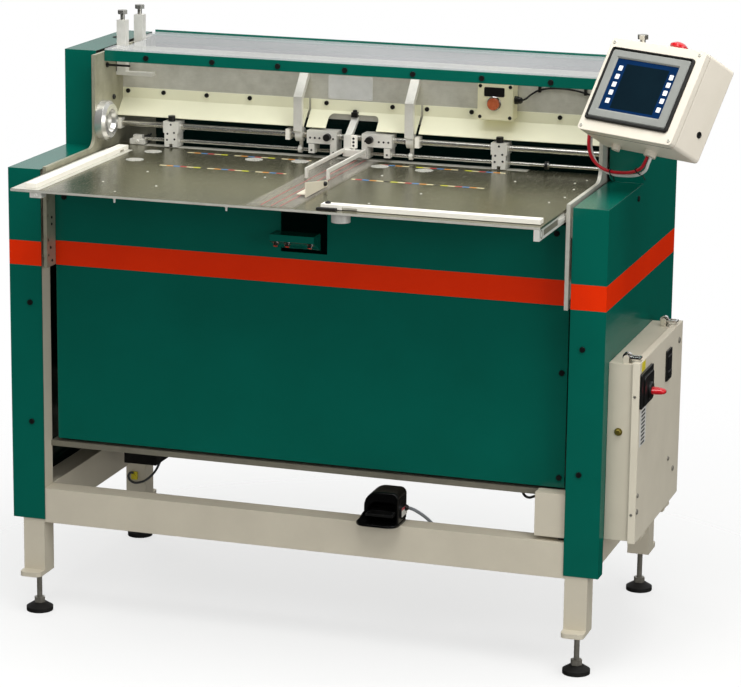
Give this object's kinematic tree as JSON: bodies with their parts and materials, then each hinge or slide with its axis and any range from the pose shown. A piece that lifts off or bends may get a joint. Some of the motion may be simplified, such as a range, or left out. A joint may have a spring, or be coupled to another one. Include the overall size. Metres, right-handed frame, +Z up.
{
  "type": "case making machine",
  "caption": "Floor-standing bookbinding case maker: sliding vacuum table, adjustable stops and spine gauge on shafts, swivelling operator console, side cabinet and foot switch.",
  "frame": {"origin": "middle of the bounding box on the floor", "axes": "+X to the operator's right, +Y from the operator to the back, +Z up"},
  "size_m": [1.5478, 0.8776, 1.3354],
  "materials": {
    "green_paint": "gloss powder coat",
    "beige_paint": "satin powder coat",
    "cream_paint": "satin powder coat",
    "cream_plastic": "moulded",
    "galvanised": "zinc coated sheet",
    "steel": "ground",
    "table_steel": "brushed",
    "aluminium": "milled",
    "chrome": "plated",
    "white_plastic": "moulded",
    "black_plastic": "moulded",
    "black_metal": "satin paint",
    "red_plastic": "moulded",
    "orange_lens": "moulded",
    "acrylic": "clear sheet",
    "rubber": "moulded"
  },
  "bodies": {
    "machine": {"left_cover": "green_paint", "right_cover": "green_paint", "front_panel": "green_paint", "rear_panel": "green_paint", "top_rails": "green_paint", "valve_box": "green_paint", "frame_legs": "beige_paint", "frame_rails": "beige_paint", "guards": "cream_paint", "cabinet_body": "cream_paint", "cycle_box": "cream_plastic", "junction_box": "cream_plastic", "back_wall": "galvanised", "floor_tray": "galvanised", "left_cheek": "galvanised", "right_cheek": "galvanised", "level_screws": "steel", "adjust_screws": "steel", "upper_shaft": "steel", "lower_rod": "steel", "cheek_rails": "steel", "console_pivot": "steel", "adjust_posts": "aluminium", "end_disc": "aluminium", "hangers": "aluminium", "centre_arm": "aluminium", "shaft_collars": "white_plastic", "foot_switch": "black_plastic", "panel_screws": "black_plastic", "vacuum_unit": "black_metal", "top_sheet": "acrylic", "foot_pads": "rubber", "console_hoses": "rubber", "pedal_cable": "rubber"},
    "table": {"table_plate": "table_steel", "vacuum_box": "table_steel", "table_rails": "aluminium", "suction_discs": "white_plastic", "clear_strip": "acrylic", "bar_cylinders": "aluminium", "gauge_plate": "cream_paint"},
    "left_hold_bar": {"left_bar": "white_plastic"},
    "front_hold_bar": {"front_bar": "white_plastic"},
    "left_stop": {"stop_left": "aluminium"},
    "left_stop_screw": {"stop_left_knob": "black_plastic"},
    "right_stop": {"stop_right": "aluminium"},
    "right_stop_screw": {"stop_right_knob": "black_plastic"},
    "left_spine_block": {"spine_left": "aluminium"},
    "left_spine_screw": {"spine_left_knob": "black_plastic"},
    "right_spine_block": {"spine_right": "aluminium"},
    "right_spine_screw": {"spine_right_knob": "black_plastic"},
    "console": {"console_body": "cream_paint", "screen_panel": "black_plastic"},
    "emergency_stop": {"estop_knob": "red_plastic"},
    "cycle_push_button": {"cycle_button": "orange_lens"},
    "door": {"cabinet_door": "cream_paint"},
    "main_switch": {"switch_handle": "red_plastic"},
    "latch_front": {"front_latch": "chrome"},
    "latch_rear": {"rear_latch": "chrome"},
    "pedal": {"foot_pedal": "black_plastic"}
  },
  "joints": [
    {"name": "table_slide", "type": "slide", "parent": "machine", "child": "table", "axis": [0, 1, 0], "range_m": [0, 0.18]},
    {"name": "left_bar_lift", "type": "slide", "parent": "table", "child": "left_hold_bar", "axis": [0, 0, 1], "range_m": [0, 0.012]},
    {"name": "front_bar_lift", "type": "slide", "parent": "table", "child": "front_hold_bar", "axis": [0, 0, 1], "range_m": [0, 0.012]},
    {"name": "left_stop_slide", "type": "slide", "parent": "machine", "child": "left_stop", "axis": [1, 0, 0], "range_m": [-0.05, 0.22]},
    {"name": "right_stop_slide", "type": "slide", "parent": "machine", "child": "right_stop", "axis": [1, 0, 0], "range_m": [-0.16, 0.065]},
    {"name": "left_spine_slide", "type": "slide", "parent": "machine", "child": "left_spine_block", "axis": [1, 0, 0], "range_m": [-0.01, 0.018]},
    {"name": "right_spine_slide", "type": "slide", "parent": "machine", "child": "right_spine_block", "axis": [1, 0, 0], "range_m": [-0.018, 0.025]},
    {"name": "left_stop_clamp", "type": "hinge", "parent": "left_stop", "child": "left_stop_screw", "pos_m": [-0.54643, 0.14915, 1.075], "axis": [0, 0, 1], "range_deg": [-180, 180]},
    {"name": "right_stop_clamp", "type": "hinge", "parent": "right_stop", "child": "right_stop_screw", "pos_m": [0.22457, 0.14915, 1.075], "axis": [0, 0, 1], "range_deg": [-180, 180]},
    {"name": "left_spine_clamp", "type": "hinge", "parent": "left_spine_block", "child": "left_spine_screw", "pos_m": [-0.17043, 0.13615, 1.056], "axis": [0, -1, 0], "range_deg": [-180, 180]},
    {"name": "right_spine_clamp", "type": "hinge", "parent": "right_spine_block", "child": "right_spine_screw", "pos_m": [-0.07143, 0.13615, 1.056], "axis": [0, -1, 0], "range_deg": [-180, 180]},
    {"name": "console_swivel", "type": "hinge", "parent": "machine", "child": "console", "pos_m": [0.54507, 0.11215, 1.27], "axis": [0, 0, 1], "range_deg": [-10, 30], "deforming": ["console_hoses"]},
    {"name": "emergency_stop_push", "type": "slide", "parent": "console", "child": "emergency_stop", "axis": [-0.2536, -0.4221, -0.8704], "range_m": [0, 0.005], "stiffness_N_per_m": 2000, "springref_m": -0.002},
    {"name": "cycle_push", "type": "slide", "parent": "machine", "child": "cycle_push_button", "axis": [0, 1, 0], "range_m": [0, 0.004], "stiffness_N_per_m": 1500, "springref_m": -0.002},
    {"name": "door_hinge", "type": "hinge", "parent": "machine", "child": "door", "pos_m": [0.62507, 0.00215, 0.288], "axis": [0, 1, 0], "range_deg": [0, 90]},
    {"name": "main_switch_turn", "type": "hinge", "parent": "door", "child": "main_switch", "pos_m": [0.64607, -0.14385, 0.616], "axis": [1, 0, 0], "range_deg": [0, 90]},
    {"name": "front_latch_swing", "type": "hinge", "parent": "machine", "child": "latch_front", "pos_m": [0.60137, -0.18685, 0.695], "axis": [0, -1, 0], "range_deg": [0, 100]},
    {"name": "rear_latch_swing", "type": "hinge", "parent": "machine", "child": "latch_rear", "pos_m": [0.60137, 0.17015, 0.695], "axis": [0, -1, 0], "range_deg": [0, 100]},
    {"name": "pedal_press", "type": "hinge", "parent": "machine", "child": "pedal", "pos_m": [0.08807, -0.20285, 0.3173], "axis": [1, 0, 0], "range_deg": [0, 6], "stiffness_Nm_per_rad": 6, "springref_deg": -5.73}
  ]
}
